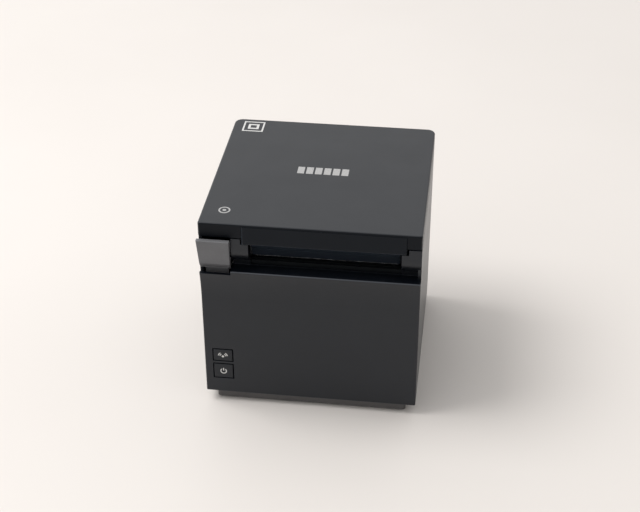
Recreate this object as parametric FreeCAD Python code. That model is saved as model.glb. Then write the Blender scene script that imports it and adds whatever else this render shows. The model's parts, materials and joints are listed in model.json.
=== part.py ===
"""Compact cube-form thermal receipt printer, 80 mm paper, front exit.

Frame: origin at the centre of the body's footprint on the desk, +Z up, -Y to the user's side (front),
+X to the user's right. Millimetres.
"""

import FreeCAD, Part

import math
import os

from FreeCAD import Vector

# ---------------------------------------------------------------- driving dimensions
WIDTH = 127.0
DEPTH = 127.0
HEIGHT = 127.0
SKIRT_Z = 7.3  # lower edge of the side walls and the front panel
PLINTH_Z = 1.0  # underside of the recessed plinth
FOOT_R = 6.0
FOOT_TOP_Z = 2.6
WALL = 2.0
REAR_CORNER_R = 5.0
SEAM_Z = 117.4  # top of the case walls
LID_EDGE_Z = 118.2  # lower edge of the lid's skirt
LID_TOP_WALL = 2.4
FIT = 0.1  # gap between mating shells

X_SIDE = WIDTH / 2
Y_FRONT = -DEPTH / 2
Y_REAR = DEPTH / 2
X_IN = X_SIDE - WALL
Y_REAR_IN = Y_REAR - WALL

# paper path
PATH_X = 8.5  # middle of the paper, off the body's middle
ROLL_WIDTH = 80.0
ROLL_R = 40.0
BUCKET_R = 41.5
BUCKET_HALF = 40.9
BUCKET_SKIN = 1.6
ROLL_Y = 17.0
ROLL_Z = 68.5
DECK_Z = 106.0
SLOT_HALF = 43.7
SLOT_X0 = PATH_X - SLOT_HALF + 0.2
SLOT_X1 = PATH_X + SLOT_HALF

# front panel
FLARE_Z = 76.5  # where the panel starts to curve forward
FLARE_OUT = 3.2
LEDGE_Z = 96.9
LEDGE_BACK_Y = -57.6
LEDGE_T = 1.6
CREST_R = 0.9
NOTCH_X = -45.1
NOTCH_Z = 94.2

# blocks beside the slot: a rounded nose that turns under
NOSE_R = 12.5
NOSE_Z = 110.5
NOSE_END = math.radians(60)
NOSE_FOOT_Z = 96.0
BLOCK_LEFT_X = -45.0
BLOCK_STEP_Z = 113.9
LIP_X0 = -38.5
LIP_X1 = 55.0
LIP_GAP = 0.9
LIP_Z0 = 114.5
LIP_Z1 = 125.6
LIP_OUT = 1.1
LIP_ROUND = 0.8
GUIDE_FOOT_Z = 102.7  # lower end of the guide under the lip

# lever
LEVER_X0 = -63.5
LEVER_X1 = -45.6
LEVER_TOP_Z = 117.6
LEVER_TOP_Y = -68.2
LEVER_TOP_DEPTH = 2.6
LEVER_FLARE = 0.5  # how much wider the cap is at the top, each side
LEVER_CREST_Y = -64.4
LEVER_CREST_Z = 100.2
LEVER_CREST_R = 1.2
LEVER_SKIN = 1.7
LEVER_HUB_R = 4.8

# mechanism: (y, z) of every shaft, all along X
PLATEN_AT = (-42.0, 108.0)
PLATEN_R = 7.5
PLATEN_SHAFT_R = 3.0
BEARING_R = 4.5
LOCK_AT = (-47.0, 90.0)
LOCK_R = 2.5
HEAD_PIN_AT = (-31.2, 97.9)
HEAD_PIN_R = 1.0
CUTTER_AT = (-46.0, 78.0)
CUTTER_SHAFT_R = 1.5
HINGE_AT = (60.0, 118.0)
HINGE_BARREL_R = 3.5
HINGE_PIN_R = 1.5
RUN = 0.05  # radial running clearance

# gears
MODULE = 0.5
PRESSURE = math.radians(20)
ADDENDUM = 0.8 * MODULE
DEDENDUM = 1.1 * MODULE
BACKLASH = 0.10
PLATEN_TEETH = 40
IDLER_SMALL_TEETH = 16
IDLER_LARGE_TEETH = 36
REDUCTION_TEETH = 44
PINION_TEETH = 14
CUTTER_GEAR_TEETH = 32
RACK_PINION_TEETH = 16
IDLER_AT = (-42.0, PLATEN_AT[1] - MODULE * (PLATEN_TEETH + IDLER_SMALL_TEETH) / 2)

# sheet-metal frame
FRAME_T = 1.2
FRAME_X0 = -37.4
FRAME_X1 = 54.4
FRAME_Z0 = 44.0
FRAME_Z1 = 112.0
FRAME_Y0 = -55.6
FRAME_Y1 = -28.0
SHELF_Z = 86.8
HEAD_Z = PLATEN_AT[1] - PLATEN_R - 0.1  # top of the head's ceramic
HEAD_SPRING_X = (PATH_X - 24.0, PATH_X + 24.0)
BLADE_Y0 = -54.5
BLADE_Y1 = -53.7
RACK_X = (PATH_X - 16.5, PATH_X + 16.5)
STUD_R = 1.25

# printed circuit board and sockets
BOARD_Z = 14.0
BOARD_T = 1.6

# buttons in the front panel: (lower edge, upper edge)
BUTTON_X0 = -58.1
BUTTON_X1 = -46.8
FEED_Z = (30.5, 38.5)
POWER_Z = (17.8, 27.7)
BUTTON_GAP = 0.7
BUTTON_STAND = 0.25
SWITCH_FRONT_Y = -55.2
BUTTON_BOARD_Y = -51.9

# fixings on the underside, sockets and label at the rear
WALL_MOUNT_R = 1.65
WALL_MOUNT_X = 35.0
WALL_MOUNT_Y = 30.0
SOCKET_FRONT_Y = 61.2
POWER_SOCKET_X = -40.0
DRAWER_SOCKET_X = -17.0
LAN_SOCKET_X = 9.0
USB_SOCKET_X = 34.0
LABEL = (-25.0, 25.0, 48.0, 78.0)  # x0, x1, z0, z1
LABEL_DEPTH = 0.15


# ---------------------------------------------------------------- small helpers
def box(x0, x1, y0, y1, z0, z1):
    return Part.makeBox(x1 - x0, y1 - y0, z1 - z0, Vector(x0, y0, z0))


def rod_x(radius, at, x0, x1):
    """Round bar along X at at = (y, z)."""
    return Part.makeCylinder(radius, x1 - x0, Vector(x0, at[0], at[1]), Vector(1, 0, 0))


def rod_y(radius, x, z, y0, y1):
    return Part.makeCylinder(radius, y1 - y0, Vector(x, y0, z), Vector(0, 1, 0))


def rod_z(radius, x, y, z0, z1):
    return Part.makeCylinder(radius, z1 - z0, Vector(x, y, z0))


def tube_x(outer, inner, at, x0, x1):
    return rod_x(outer, at, x0, x1).cut(rod_x(inner, at, x0, x1))


def extrude_x(wire, x0, x1):
    """A closed (y, z) wire drawn at x = 0, pushed from x0 to x1."""
    face = Part.Face(wire)
    face.translate(Vector(x0, 0, 0))
    return face.extrude(Vector(x1 - x0, 0, 0))


def polygon_x(points, x0, x1):
    """A (y, z) polygon pushed from x0 to x1."""
    corners = [Vector(0, y, z) for y, z in points]
    return extrude_x(Part.makePolygon(corners + corners[:1]), x0, x1)


def polygon_y(points, y0, y1):
    """An (x, z) polygon pushed from y0 to y1."""
    corners = [Vector(x, y0, z) for x, z in points]
    return Part.Face(Part.makePolygon(corners + corners[:1])).extrude(Vector(0, y1 - y0, 0))


def yz(point):
    return Vector(0, point[0], point[1])


def on_circle(centre, radius, angle):
    """A (y, z) point at an angle from +Y towards +Z."""
    return (centre[0] + radius * math.cos(angle), centre[1] + radius * math.sin(angle))


def plan_prism(half_x, y0, y1, z0, z1, front_r, rear_r):
    """Upright block, rounded in plan: front_r at the front corners and rear_r at the rear ones."""
    block = box(-half_x, half_x, y0, y1, z0, z1)
    for corner_y, radius in ((y1, rear_r), (y0, front_r)):
        upright = [e for e in block.Edges if abs(e.Vertexes[0].Z - e.Vertexes[-1].Z) > 1]
        corners = [e for e in upright if abs(e.Vertexes[0].Y - corner_y) < 0.01]
        if radius:
            block = block.makeFillet(radius, corners)
    return block


def about_path(x):
    """The same distance on the other side of the paper's middle."""
    return 2 * PATH_X - x


def save(name, *solids):
    shape = solids[0] if len(solids) == 1 else Part.makeCompound(list(solids))
    shape.exportStep(os.path.join("parts", name + ".step"))


# ---------------------------------------------------------------- gears
def involute(angle):
    return math.tan(angle) - angle


def half_tooth(teeth, radius):
    """Half the angle one tooth takes up at a radius."""
    pitch_r = MODULE * teeth / 2
    base_r = pitch_r * math.cos(PRESSURE)
    at_pitch = (math.pi * MODULE / 2 - BACKLASH) / (2 * pitch_r)
    roll = math.acos(base_r / max(radius, base_r))
    return at_pitch + involute(PRESSURE) - involute(roll)


def gear(teeth, at, x0, x1, phase, bore_r):
    """Spur gear on an X shaft, with the middle of one tooth at the angle phase."""
    pitch_r = MODULE * teeth / 2
    root_r = pitch_r - DEDENDUM
    tip_r = pitch_r + ADDENDUM
    base_r = max(root_r, pitch_r * math.cos(PRESSURE))
    radii = [root_r, base_r, (base_r + tip_r) / 2, tip_r]
    if base_r == root_r:
        radii.pop(0)
    points = []
    for n in range(teeth):
        middle = phase + 2 * math.pi * n / teeth
        for radius in radii:
            points.append(on_circle(at, radius, middle - half_tooth(teeth, radius)))
        for radius in reversed(radii):
            points.append(on_circle(at, radius, middle + half_tooth(teeth, radius)))
    return polygon_x(points, x0, x1).cut(rod_x(bore_r, at, x0 - 1, x1 + 1))


def direction(a, b):
    return math.atan2(b[1] - a[1], b[0] - a[0])


def meshed_phase(teeth_a, phase_a, a, teeth_b, b):
    """The phase that puts gear b's teeth into gear a's gaps."""
    towards = direction(a, b)
    return towards + math.pi + (math.pi - teeth_a * (phase_a - towards)) / teeth_b


def shaft_below(at, shift_y, distance):
    """A shaft a centre distance away and lower, shifted sideways by shift_y."""
    return (at[0] + shift_y, at[1] - math.sqrt(distance**2 - shift_y**2))


REDUCTION_AT = shaft_below(IDLER_AT, 2.0, MODULE * (IDLER_LARGE_TEETH + REDUCTION_TEETH) / 2)
FEED_MOTOR_AT = shaft_below(REDUCTION_AT, -1.0, MODULE * (REDUCTION_TEETH + PINION_TEETH) / 2)
CUTTER_MOTOR_AT = shaft_below(CUTTER_AT, 2.0, MODULE * (CUTTER_GEAR_TEETH + PINION_TEETH) / 2)


# ---------------------------------------------------------------- fasteners and springs
def screw(x, y, z, up, length, thread_r=1.5, head_r=2.7, head_h=1.6):
    """Pan-head screw with a cross recess. The head's seat is at z and the thread runs to up * length."""
    shank = rod_z(thread_r, x, y, min(z, z + up * length), max(z, z + up * length))
    head = rod_z(head_r, x, y, min(z, z - up * head_h), max(z, z - up * head_h))
    cut_z = z - up * head_h
    low, high = sorted((cut_z - up * 0.1, cut_z + up * 0.8))
    recess = box(x - 1.5, x + 1.5, y - 0.3, y + 0.3, low, high)
    recess = recess.fuse(box(x - 0.3, x + 0.3, y - 1.5, y + 1.5, low, high))
    return shank.fuse(head).cut(recess)


def coil(radius, wire_r, pitch, turns):
    """Open coil standing on z = 0, axis Z."""
    helix = Part.makeHelix(pitch, pitch * turns, radius)
    ring = Part.Wire(Part.makeCircle(wire_r, Vector(radius, 0, 0), Vector(0, 1, 0)))
    return Part.Wire(helix).makePipeShell([ring], True, True)


# ---------------------------------------------------------------- casings
def nose_arc(radius, end=NOSE_END):
    """The side blocks' front curve, from upright to turned under: an arc edge and its end point."""
    centre = (Y_FRONT + NOSE_R, NOSE_Z)
    start = on_circle(centre, radius, math.pi)
    middle = on_circle(centre, radius, math.pi + end / 2)
    stop = on_circle(centre, radius, math.pi + end)
    return Part.Arc(yz(start), yz(middle), yz(stop)).toShape(), start, stop


def nose_block(x0, x1, top):
    """One block beside the slot: a skin that follows the nose, closed at both sides."""
    outer, start, stop = nose_arc(NOSE_R)
    inner, inner_start, inner_stop = nose_arc(NOSE_R - WALL)
    foot = (stop[0], NOSE_FOOT_Z)
    inner_foot = (inner_stop[0], NOSE_FOOT_Z)
    skin = Part.Wire(
        [
            Part.makeLine(yz((Y_FRONT, top)), yz(start)),
            outer,
            Part.makeLine(yz(stop), yz(foot)),
            Part.makeLine(yz(foot), yz(inner_foot)),
            Part.makeLine(yz(inner_foot), yz(inner_stop)),
            inner,
            Part.makeLine(yz(inner_start), yz((Y_FRONT + WALL, top))),
            Part.makeLine(yz((Y_FRONT + WALL, top)), yz((Y_FRONT, top))),
        ]
    )
    side = Part.Wire(
        [
            Part.makeLine(yz((Y_FRONT, top)), yz(start)),
            outer,
            Part.makeLine(yz(stop), yz(foot)),
            Part.makeLine(yz(foot), yz(inner_foot)),
            Part.makeLine(yz(inner_foot), yz((inner_foot[0], top))),
            Part.makeLine(yz((inner_foot[0], top)), yz((Y_FRONT, top))),
        ]
    )
    block = extrude_x(skin, x0, x1)
    for wall_x in (x0, x1 - WALL):
        block = block.fuse(extrude_x(side, wall_x, wall_x + WALL))
    return block


def hinge_ear_x():
    """Where the case's two hinge ears stand, as (x0, x1) pairs."""
    return [(-49.5, -44.5), (44.5, 49.5)]


def main_case():
    y0 = Y_FRONT + WALL + FIT
    shell = plan_prism(X_SIDE, y0, Y_REAR, SKIRT_Z, SEAM_Z, 0, REAR_CORNER_R)
    inside = plan_prism(X_IN, y0 - 1, Y_REAR_IN, SKIRT_Z - 1, SEAM_Z + 1, 0, REAR_CORNER_R - WALL)
    shell = shell.cut(inside)
    # blocks beside the slot; each is lower under the lid's lip
    for x0, x1, step_x0, step_x1 in (
        (BLOCK_LEFT_X, SLOT_X0, LIP_X0 - LIP_GAP, SLOT_X0 + 1),
        (SLOT_X1, X_SIDE, SLOT_X1 - 1, LIP_X1 + LIP_GAP + 0.3),
    ):
        block = nose_block(x0, x1, SEAM_Z)
        block = block.cut(box(step_x0, step_x1, Y_FRONT - 1, -50, BLOCK_STEP_Z, SEAM_Z + 1))
        shell = shell.fuse(block)
    shell = shell.fuse(slot_rail())
    # hinge ears inside the rear wall
    trough = rod_x(HINGE_BARREL_R + 0.35, HINGE_AT, -WIDTH, WIDTH)
    above = box(-WIDTH, WIDTH, HINGE_AT[0], Y_REAR + 1, HINGE_AT[1] - 3.9, HEIGHT)
    shell = shell.cut(trough).cut(above)
    for x0, x1 in hinge_ear_x():
        ear = rod_x(HINGE_BARREL_R - 0.2, HINGE_AT, x0, x1)
        ear = ear.fuse(box(x0, x1, HINGE_AT[0] - 3.3, HINGE_AT[0] + 0.4, 109.0, HINGE_AT[1]))
        ear = ear.fuse(box(x0, x1, HINGE_AT[0] - 3.3, Y_REAR_IN + 0.5, 107.8, 113.8))
        shell = shell.fuse(ear.cut(rod_x(HINGE_PIN_R, HINGE_AT, x0 - 1, x1 + 1)))
    # opening for the sockets, with a rounded frame
    window = box(-52, 52, Y_REAR_IN - 1, Y_REAR + 1, 12.5, 31.5)
    edges = [e for e in window.Edges if abs(e.Vertexes[0].Y - e.Vertexes[-1].Y) > 1]
    shell = shell.cut(window.makeFillet(2.0, edges))
    x0, x1, z0, z1 = LABEL
    shell = shell.cut(box(x0, x1, Y_REAR - LABEL_DEPTH, Y_REAR + 1, z0, z1))
    # ledges that carry the inner deck
    for x0, x1 in ((-X_IN, -X_IN + 3), (X_IN - 3, X_IN)):
        shell = shell.fuse(box(x0, x1, -20, 55, DECK_Z - 3, DECK_Z - FIT))
    return shell.removeSplitter()


def panel_front_y(z):
    """The front panel's outer face: upright, then flared forward along an arc."""
    if z <= FLARE_Z:
        return Y_FRONT
    rise = LEDGE_Z - FLARE_Z
    radius = (rise**2 + FLARE_OUT**2) / (2 * FLARE_OUT)
    return Y_FRONT - radius + math.sqrt(radius**2 - (z - FLARE_Z) ** 2)


def panel_arc():
    """The flare's outer edge, up to where the crest's rounding starts, and its end point."""
    top = LEDGE_Z - CREST_R
    middle = (FLARE_Z + top) / 2
    ends = [(panel_front_y(z), z) for z in (FLARE_Z, middle, top)]
    return Part.Arc(*[yz(p) for p in ends]).toShape(), ends[-1]


def crest_arc(start):
    """Rounds the flare over onto the ledge."""
    end = (start[0] + CREST_R, LEDGE_Z)
    middle = (start[0] + CREST_R * 0.27, LEDGE_Z - CREST_R * 0.29)
    return Part.Arc(yz(start), yz(middle), yz(end)).toShape(), end


def panel_slab(x0, x1, back_y):
    """The panel and what fills its flare, back to back_y, as one block."""
    flare, flare_top = panel_arc()
    crest, crest_end = crest_arc(flare_top)
    wire = Part.Wire(
        [
            Part.makeLine(yz((Y_FRONT, SKIRT_Z)), yz((Y_FRONT, FLARE_Z))),
            flare,
            crest,
            Part.makeLine(yz(crest_end), yz((back_y, LEDGE_Z))),
            Part.makeLine(yz((back_y, LEDGE_Z)), yz((back_y, SKIRT_Z))),
            Part.makeLine(yz((back_y, SKIRT_Z)), yz((Y_FRONT, SKIRT_Z))),
        ]
    )
    return extrude_x(wire, x0, x1)


def front_panel():
    """Front shell with a flared top edge, a short ledge behind it, button openings and the lever's notch."""
    panel = panel_slab(-X_SIDE, X_SIDE, LEDGE_BACK_Y)
    corner = [e for e in panel.Edges if on_outer_corner(e)]
    panel = soften(panel, corner, 0.8)
    notch = box(-X_SIDE - 1, NOTCH_X, Y_FRONT - FLARE_OUT - 1, -50, NOTCH_Z, LEDGE_Z + 1)
    panel = panel.cut(notch)
    # hollow: upright behind the lower face, then following the flare up to the ledge
    hollow = panel_slab(-X_IN, X_IN, LEDGE_BACK_Y + 5)
    hollow.translate(Vector(0, WALL, 0))
    above_ledge = box(-WIDTH, WIDTH, -80, -40, LEDGE_Z - LEDGE_T, LEDGE_Z + 5)
    panel = panel.cut(hollow.cut(above_ledge))
    panel = panel.cut(box(-WIDTH, WIDTH, Y_FRONT + WALL, -50, 0, FLARE_Z))
    for side in (-1, 1):
        panel = panel.cut(box(*sorted((side * X_IN, side * WIDTH)), Y_FRONT + WALL, -50, 0, HEIGHT))
    # room for the lever's cap when it is pressed
    panel = panel.cut(box(-WIDTH, NOTCH_X, Y_FRONT + 0.1, -50, NOTCH_Z - 3.2, HEIGHT))
    for z0, z1 in (FEED_Z, POWER_Z):
        hole = box(
            BUTTON_X0 - BUTTON_GAP,
            BUTTON_X1 + BUTTON_GAP,
            Y_FRONT - 1,
            Y_FRONT + WALL + 1,
            z0 - BUTTON_GAP,
            z1 + BUTTON_GAP,
        )
        panel = panel.cut(hole)
    return panel.removeSplitter()


def on_outer_corner(edge):
    """Whether an edge runs up the panel's left or right outer corner."""
    ends = [edge.Vertexes[0].Point, edge.Vertexes[-1].Point]
    at_side = all(abs(abs(p.x) - X_SIDE) < 0.01 for p in ends)
    on_face = all(p.z < LEDGE_Z - 0.1 and abs(p.y - panel_front_y(p.z)) < 0.01 for p in ends)
    return at_side and on_face and abs(ends[0].z - ends[1].z) > 1


def soften(shape, edges, radius):
    """Rounds the edges."""
    return shape.makeFillet(radius, edges) if edges else shape


def slot_rail():
    """Rail level with the panel's ledge, which joins the two blocks at the foot of the slot."""
    return box(BLOCK_LEFT_X, X_IN + 0.5, LEDGE_BACK_Y + 0.15, -55.95, 93.0, LEDGE_Z)


def base_plate():
    """Recessed plinth with a floor, frame posts and board stand-offs."""
    floor = plan_prism(X_IN - FIT, Y_FRONT + WALL + 2 * FIT, Y_REAR_IN - FIT, SKIRT_Z, 9.3, 0, 2.8)
    plinth = plan_prism(57.5, -60.5, 59.5, PLINTH_Z, SKIRT_Z, 2.0, 3.0)
    hollow = plan_prism(55.5, -58.5, 57.5, 0, SKIRT_Z - 1.5, 1.0, 1.5)
    pads = [rod_z(FOOT_R + 1.5, x, y, PLINTH_Z, SKIRT_Z) for x, y in foot_places()]
    base = floor.fuse(plinth.cut(hollow))
    for pad in pads:
        base = base.fuse(pad)
    for x, y in foot_places():
        base = base.cut(rod_z(FOOT_R + 0.1, x, y, 0, FOOT_TOP_Z))
    for x, y in frame_post_places():
        base = base.fuse(rod_z(3.2, x, y, 8.5, FRAME_Z0 - FIT))
        base = base.cut(rod_z(1.5, x, y, FRAME_Z0 - 9, FRAME_Z0 + 1))
    for x, y in board_post_places():
        base = base.fuse(rod_z(3.0, x, y, 8.5, BOARD_Z))
        base = base.cut(rod_z(1.25, x, y, 9.5, BOARD_Z + 1))
    for x, y in wall_mount_places():
        base = base.fuse(rod_z(4.0, x, y, PLINTH_Z, SKIRT_Z))
        base = base.cut(rod_z(WALL_MOUNT_R, x, y, 0, 8.2))
    return base.removeSplitter()


def wall_mount_places():
    return [(x, y) for x in (-WALL_MOUNT_X, WALL_MOUNT_X) for y in (-WALL_MOUNT_Y, WALL_MOUNT_Y)]


def foot_places():
    return [(x, y) for x in (-47.0, 47.0) for y in (-50.0, 49.0)]


def frame_post_places():
    return [(x, y) for x in (-31.5, 48.5) for y in (-51.5, -31.5)]


def board_post_places():
    return [(x, y) for x in (-50.0, 50.0) for y in (-14.0, 38.0)]


def rubber_feet():
    feet = []
    for x, y in foot_places():
        foot = rod_z(FOOT_R, x, y, 0, FOOT_TOP_Z)
        rim = [e for e in foot.Edges if abs(e.BoundBox.ZMax) < 0.01]
        feet.append(foot.makeFillet(0.6, rim))
    return feet


def roll_bucket():
    """Half-round paper trough with side walls, and the inner deck round its mouth."""
    x0, x1 = PATH_X - BUCKET_HALF, PATH_X + BUCKET_HALF
    outer_r = BUCKET_R + BUCKET_SKIN
    axis = (ROLL_Y, ROLL_Z)
    top = DECK_Z + 1.6
    front_top = 97.0
    outer = rod_x(outer_r, axis, x0 - BUCKET_SKIN, x1 + BUCKET_SKIN)
    outer = outer.fuse(
        box(x0 - BUCKET_SKIN, x1 + BUCKET_SKIN, ROLL_Y - outer_r, ROLL_Y + outer_r, ROLL_Z, top)
    )
    inner = rod_x(BUCKET_R, axis, x0, x1)
    inner = inner.fuse(box(x0, x1, ROLL_Y - BUCKET_R, ROLL_Y + BUCKET_R, ROLL_Z, top + 1))
    outer = outer.cut(box(-80, 80, -60, 80, top, 130))
    deck = plan_prism(X_IN - 0.3, -24.0, 56.0, DECK_Z, top, 0, 2.0)
    shell = outer.fuse(deck).cut(inner)
    front_cut = box(x0 - 10, x1 + 10, ROLL_Y - outer_r - 1, -20.0, front_top, top + 1)
    return shell.cut(front_cut).removeSplitter()


# ---------------------------------------------------------------- lid
def lid_shell():
    shell = plan_prism(X_SIDE, Y_FRONT, Y_REAR, LID_EDGE_Z, HEIGHT, 1.5, REAR_CORNER_R)
    top_rim = [e for e in shell.Edges if e.BoundBox.ZMin > HEIGHT - 0.01]
    shell = shell.makeFillet(1.0, top_rim)
    inside = plan_prism(
        X_IN,
        Y_FRONT + WALL,
        Y_REAR_IN,
        LID_EDGE_Z - 1,
        HEIGHT - LID_TOP_WALL,
        1.0,
        REAR_CORNER_R - WALL,
    )
    shell = shell.cut(inside)
    plan = plan_prism(X_SIDE, Y_FRONT, Y_REAR, 110, HEIGHT - 1.5, 1.5, REAR_CORNER_R)
    barrel = rod_x(HINGE_BARREL_R, HINGE_AT, -X_SIDE, X_SIDE).common(plan)
    shell = shell.fuse(barrel)
    for x0, x1 in hinge_ear_x():
        slot = rod_x(HINGE_BARREL_R + 0.3, HINGE_AT, x0 - 0.3, x1 + 0.3)
        slot = slot.fuse(box(x0 - 0.3, x1 + 0.3, 56.0, 64.0, 110, HINGE_AT[1]))
        shell = shell.cut(slot)
    for x0, x1 in hinge_pin_x():
        shell = shell.cut(rod_x(HINGE_PIN_R + RUN, HINGE_AT, x0, x1))
    # seat for the lip
    shell = shell.cut(box(LIP_X0 - FIT, LIP_X1 + FIT, Y_FRONT - 1, Y_FRONT + WALL + 1, 110, LIP_Z1 + FIT))
    return shell.removeSplitter()


def hinge_pin_x():
    """Pin ends, with end play, one pin at each ear."""
    return [(-54.2, -39.3), (39.3, 54.2)]


def hinge_pins():
    return [rod_x(HINGE_PIN_R, HINGE_AT, x0 + 0.1, x1 - 0.1) for x0, x1 in hinge_pin_x()]


def lid_lip():
    """Visor over the slot, proud of the lid with rounded edges, and a sloped guide behind its foot."""
    back_y = Y_FRONT + WALL + 0.8
    profile = [
        (back_y, LIP_Z1),
        (Y_FRONT - 0.2, LIP_Z1),
        (Y_FRONT - LIP_OUT, LIP_Z0),
        (back_y, LIP_Z0),
    ]
    lip = polygon_x(profile, LIP_X0, LIP_X1)
    rounded = [
        e
        for e in lip.Edges
        if e.BoundBox.YMax < Y_FRONT and (e.BoundBox.ZMin < LIP_Z0 + 0.1) and (e.BoundBox.ZMax < LIP_Z1 + 0.1)
    ]
    lip = soften(lip, rounded, LIP_ROUND)
    guide = [
        (Y_FRONT + 1.0, LIP_Z0 + 0.5),
        (Y_FRONT + 1.0, LIP_Z0),
        (-57.6, 108.4),
        (-55.3, GUIDE_FOOT_Z),
        (BLADE_Y0 - 0.15, GUIDE_FOOT_Z),
        (BLADE_Y0 - 0.15, 112.4),
        (Y_FRONT + 2.6, LIP_Z0 + 3.0),
        (Y_FRONT + 1.0, LIP_Z0 + 3.0),
    ]
    return lip.fuse(polygon_x(guide, PATH_X - 42.4, PATH_X + 42.4)).removeSplitter()


def lid_liner():
    """Inner cover under the lid, arched over the paper roll and hollow above."""
    x0, x1 = -40.0, 57.0
    y0, y1 = -29.0, 52.0
    top = HEIGHT - LID_TOP_WALL - FIT
    skin = 1.6
    block = box(x0, x1, y0, y1, 110.0, top)
    block = block.cut(rod_x(BUCKET_R + 2.0, (ROLL_Y, ROLL_Z), x0 - 1, x1 + 1))
    hollow = box(x0 + skin, x1 - skin, y0 + skin, y1 - skin, 110.0 + skin, top + 1)
    hollow = hollow.cut(rod_x(BUCKET_R + 2.0 + skin, (ROLL_Y, ROLL_Z), x0 - 1, x1 + 1))
    block = block.cut(hollow)
    for x, y in liner_screw_places():
        block = block.fuse(rod_z(3.2, x, y, 110.5, top))
        block = block.cut(rod_z(1.6, x, y, 109, top + 1))
        block = block.cut(rod_z(3.0 - 0.2, x, y, 109, 112.2))
    return block


def liner_screw_places():
    return [(x, y) for x in (-35.5, 52.5) for y in (-24.5, 47.5)]


def platen_holder():
    """Bridge under the lid: two cheeks carry the platen's bearings, and the front wall carries the fixed blade."""
    x0, x1 = PATH_X - 42.9, PATH_X + 42.9
    y0, y1 = -52.7, -31.7
    top = HEIGHT - LID_TOP_WALL - FIT
    low = 103.0
    holder = box(x0, x1, y0, y1, low, top)
    holder = holder.cut(box(x0 + 2, x1 - 2, y0 + 1.8, y1 - 1.8, low - 1, top - 2))
    return holder.cut(rod_x(BEARING_R + FIT, PLATEN_AT, x0 - 1, x1 + 1))


def fixed_blade():
    blade = box(PATH_X - 41.5, PATH_X + 41.5, -53.6, -52.8, 101.3, 110.2)
    edge = [e for e in blade.Edges if e.BoundBox.ZMax < 101.31 and e.BoundBox.YMin > -52.9 and e.Length > 20]
    return blade.makeChamfer(0.5, edge)


# ---------------------------------------------------------------- platen, which the lid carries
def platen_roller():
    half = 39.5
    roller = rod_x(PLATEN_R, PLATEN_AT, PATH_X - half, PATH_X + half)
    rims = [e for e in roller.Edges if abs(e.Length - 2 * math.pi * PLATEN_R) < 0.1]
    roller = roller.makeFillet(0.4, rims)
    return roller.cut(rod_x(PLATEN_SHAFT_R, PLATEN_AT, -60, 80))


def platen_shaft():
    return rod_x(PLATEN_SHAFT_R, PLATEN_AT, -38.6, 60.7).cut(
        box(55.6, 61, PLATEN_AT[0] + 2.2, PLATEN_AT[0] + 4, PLATEN_AT[1] - 4, PLATEN_AT[1] + 4)
    )


def platen_bearings():
    left = tube_x(BEARING_R, PLATEN_SHAFT_R + RUN, PLATEN_AT, -37.8, -32.2)
    return [left, tube_x(BEARING_R, PLATEN_SHAFT_R + RUN, PLATEN_AT, about_path(-32.2), about_path(-37.8))]


def platen_gear():
    wheel = gear(PLATEN_TEETH, PLATEN_AT, 57.6, 60.2, math.radians(-90), PLATEN_SHAFT_R)
    flat = box(57.6, 60.2, PLATEN_AT[0] + 2.2, PLATEN_AT[0] + 4, PLATEN_AT[1] - 3.1, PLATEN_AT[1] + 3.1)
    wheel = wheel.fuse(flat)
    for n in range(5):
        hole = on_circle(PLATEN_AT, 6.5, 2 * math.pi * n / 5 + 0.3)
        wheel = wheel.cut(rod_x(1.5, hole, 57, 61))
    return wheel.removeSplitter()


# ---------------------------------------------------------------- feed gear train
IDLER_PHASE = meshed_phase(PLATEN_TEETH, math.radians(-90), PLATEN_AT, IDLER_SMALL_TEETH, IDLER_AT)
REDUCTION_PHASE = meshed_phase(IDLER_LARGE_TEETH, 0.0, IDLER_AT, REDUCTION_TEETH, REDUCTION_AT)
PINION_PHASE = meshed_phase(REDUCTION_TEETH, REDUCTION_PHASE, REDUCTION_AT, PINION_TEETH, FEED_MOTOR_AT)


def idler_gear():
    large = gear(IDLER_LARGE_TEETH, IDLER_AT, 55.2, 57.0, 0.0, STUD_R + RUN)
    small = gear(IDLER_SMALL_TEETH, IDLER_AT, 57.0, 60.2, IDLER_PHASE, STUD_R + RUN)
    return large.fuse(small)


def reduction_gear():
    wheel = gear(REDUCTION_TEETH, REDUCTION_AT, 55.2, 57.0, REDUCTION_PHASE, STUD_R + RUN)
    hub = tube_x(3.0, STUD_R + RUN, REDUCTION_AT, 57.0, 58.4)
    for n in range(6):
        hole = on_circle(REDUCTION_AT, 7.0, math.pi * n / 3)
        wheel = wheel.cut(rod_x(1.8, hole, 55, 58))
    return wheel.fuse(hub)


def gear_studs():
    """Two fixed studs riveted in the frame's right cheek."""
    studs = []
    for at, end in ((IDLER_AT, 60.6), (REDUCTION_AT, 58.8)):
        stud = rod_x(STUD_R, at, FRAME_X1 - FRAME_T, end)
        stud = stud.fuse(rod_x(2.2, at, FRAME_X1 - FRAME_T - 0.8, FRAME_X1 - FRAME_T))
        studs.append(stud.fuse(rod_x(1.9, at, FRAME_X1, 55.0)))
    return studs


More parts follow.
